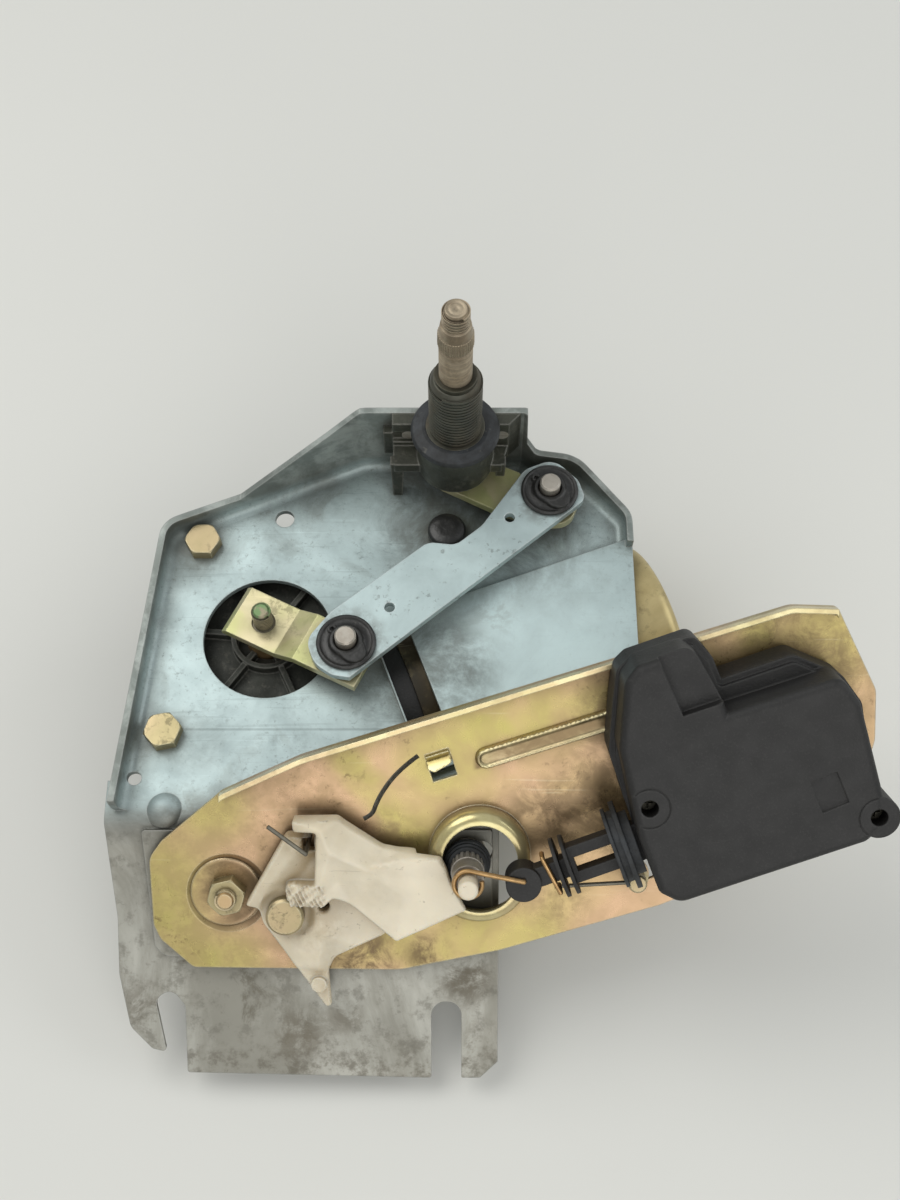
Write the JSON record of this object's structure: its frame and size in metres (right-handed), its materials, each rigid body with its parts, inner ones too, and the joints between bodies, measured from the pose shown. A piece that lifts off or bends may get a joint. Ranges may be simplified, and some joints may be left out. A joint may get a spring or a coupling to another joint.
{
  "type": "wiper motor",
  "caption": "Rear wiper motor on a bent pressed plate with crank linkage, spindle for a panel hole, and a tailgate lock actuator with its bracket, plunger and release lever",
  "frame": {"origin": "on the wiper spindle axis, at the top face of the seat washer, where the body panel bears", "axes": "+Z out of the panel along the spindle; +X along the long way of the plate, from the crank side to the lock actuator; +Y up the plate towards the spindle end"},
  "size_m": [0.222, 0.1917, 0.1506],
  "materials": {
    "plate_zinc": "zinc-plated pressed steel, blue-grey, scuffed and stained",
    "link_zinc": "zinc-plated steel strip, pale and scuffed",
    "yellow_zinc": "yellow chromated zinc on steel, faintly iridescent",
    "brass_zinc": "yellow chromated bolt steel",
    "can_zinc": "yellow chromated deep-drawn steel with brown spots",
    "cast_grey": "dark die-cast alloy, matt",
    "block_grey": "die-cast zinc alloy, dull",
    "dark_steel": "blackened steel",
    "bright_steel": "machined steel, brownish bloom",
    "sintered": "oil-filled sintered bronze",
    "copper": "copper",
    "laminations": "varnished laminations and windings",
    "ferrite": "hard ferrite",
    "carbon": "carbon-copper brush",
    "bronze_wire": "bronze spring wire",
    "spring_steel": "spring wire",
    "white_plastic": "white moulded acetal, slightly greasy",
    "black_plastic": "black textured moulding",
    "black_clip": "black moulded disc",
    "rubber": "black rubber"
  },
  "bodies": {
    "mount": {"main_plate": "plate_zinc", "rubber_stop": "rubber", "gearbox_case": "cast_grey", "gearbox_cover": "cast_grey", "cover_screws": "yellow_zinc", "output_bush": "sintered", "motor_socket": "black_plastic", "socket_blades": "copper", "motor_can": "can_zinc", "rear_bush": "sintered", "worm_bush": "sintered", "brush_holder": "black_plastic", "carbon_brushes": "carbon", "field_magnets": "ferrite", "spindle_bushes": "sintered", "threaded_tube": "dark_steel", "seat_washer": "rubber", "spindle_block": "block_grey", "block_rivets": "bright_steel", "plate_bolts": "brass_zinc", "lock_bracket": "yellow_zinc", "bracket_stud": "brass_zinc", "bracket_nut": "brass_zinc", "stub_pin": "brass_zinc", "guide_wire": "spring_steel", "pivot_stud": "brass_zinc", "plunger_guide": "rubber", "actuator_base": "black_plastic", "actuator_cover": "black_plastic", "actuator_screws": "dark_steel"},
    "armature": {"armature_shaft": "bright_steel", "armature_core": "laminations", "commutator": "copper"},
    "output": {"worm_wheel": "white_plastic", "output_shaft": "bright_steel", "crank_arm": "yellow_zinc", "crank_pin": "bright_steel", "crank_washer": "black_clip", "crank_clip": "black_clip"},
    "link": {"link_arm": "link_zinc", "link_bush": "black_clip"},
    "spindle": {"spindle_lever": "yellow_zinc", "spindle_shaft": "bright_steel", "spindle_ring": "dark_steel", "lever_pin": "bright_steel", "lever_washer": "black_clip", "lever_clip": "black_clip", "lever_bush": "black_clip"},
    "slider": {"plunger": "black_plastic", "wire_clip": "bronze_wire", "neck_clip": "bronze_wire", "lock_post": "bright_steel", "post_ring": "rubber", "post_tip": "white_plastic"},
    "release": {"release_lever": "white_plastic", "torsion_spring": "spring_steel"}
  },
  "joints": [
    {"name": "armature_spin", "type": "hinge", "parent": "mount", "child": "armature", "pos_m": [0.01747, -0.0553, -0.064], "axis": [0.9367, 0.3502, 0], "range_deg": [-3689, 81]},
    {"name": "output_turn", "type": "hinge", "parent": "mount", "child": "output", "pos_m": [-0.0585, -0.052, -0.035], "axis": [0, 0, 1], "range_deg": [-90, 2]},
    {"name": "link_turn", "type": "hinge", "parent": "output", "child": "link", "pos_m": [-0.0326, -0.0619, -0.02425], "axis": [0, 0, 1], "range_deg": [-1.95, 86.15]},
    {"name": "spindle_turn", "type": "hinge", "parent": "mount", "child": "spindle", "pos_m": [0, 0, 0], "axis": [0, 0, 1], "range_deg": [-78.06, 1.75]},
    {"name": "plunger_slide", "type": "slide", "parent": "mount", "child": "slider", "axis": [0.9367, 0.2797, 0.2108], "range_m": [0, 0.0045]},
    {"name": "release_lever_turn", "type": "hinge", "parent": "mount", "child": "release", "pos_m": [-0.0489, -0.1376, -0.0436], "axis": [0, -0.6018, 0.7986], "range_deg": [-6, 0], "stiffness_Nm_per_rad": 0.05, "springref_deg": 22.92}
  ],
  "couplings": [
    {"joint": "output_turn", "follows": "armature_spin", "ratio": 0.02439},
    {"joint": "link_turn", "follows": "armature_spin", "ratio": -0.023344},
    {"joint": "spindle_turn", "follows": "armature_spin", "ratio": 0.021154}
  ]
}
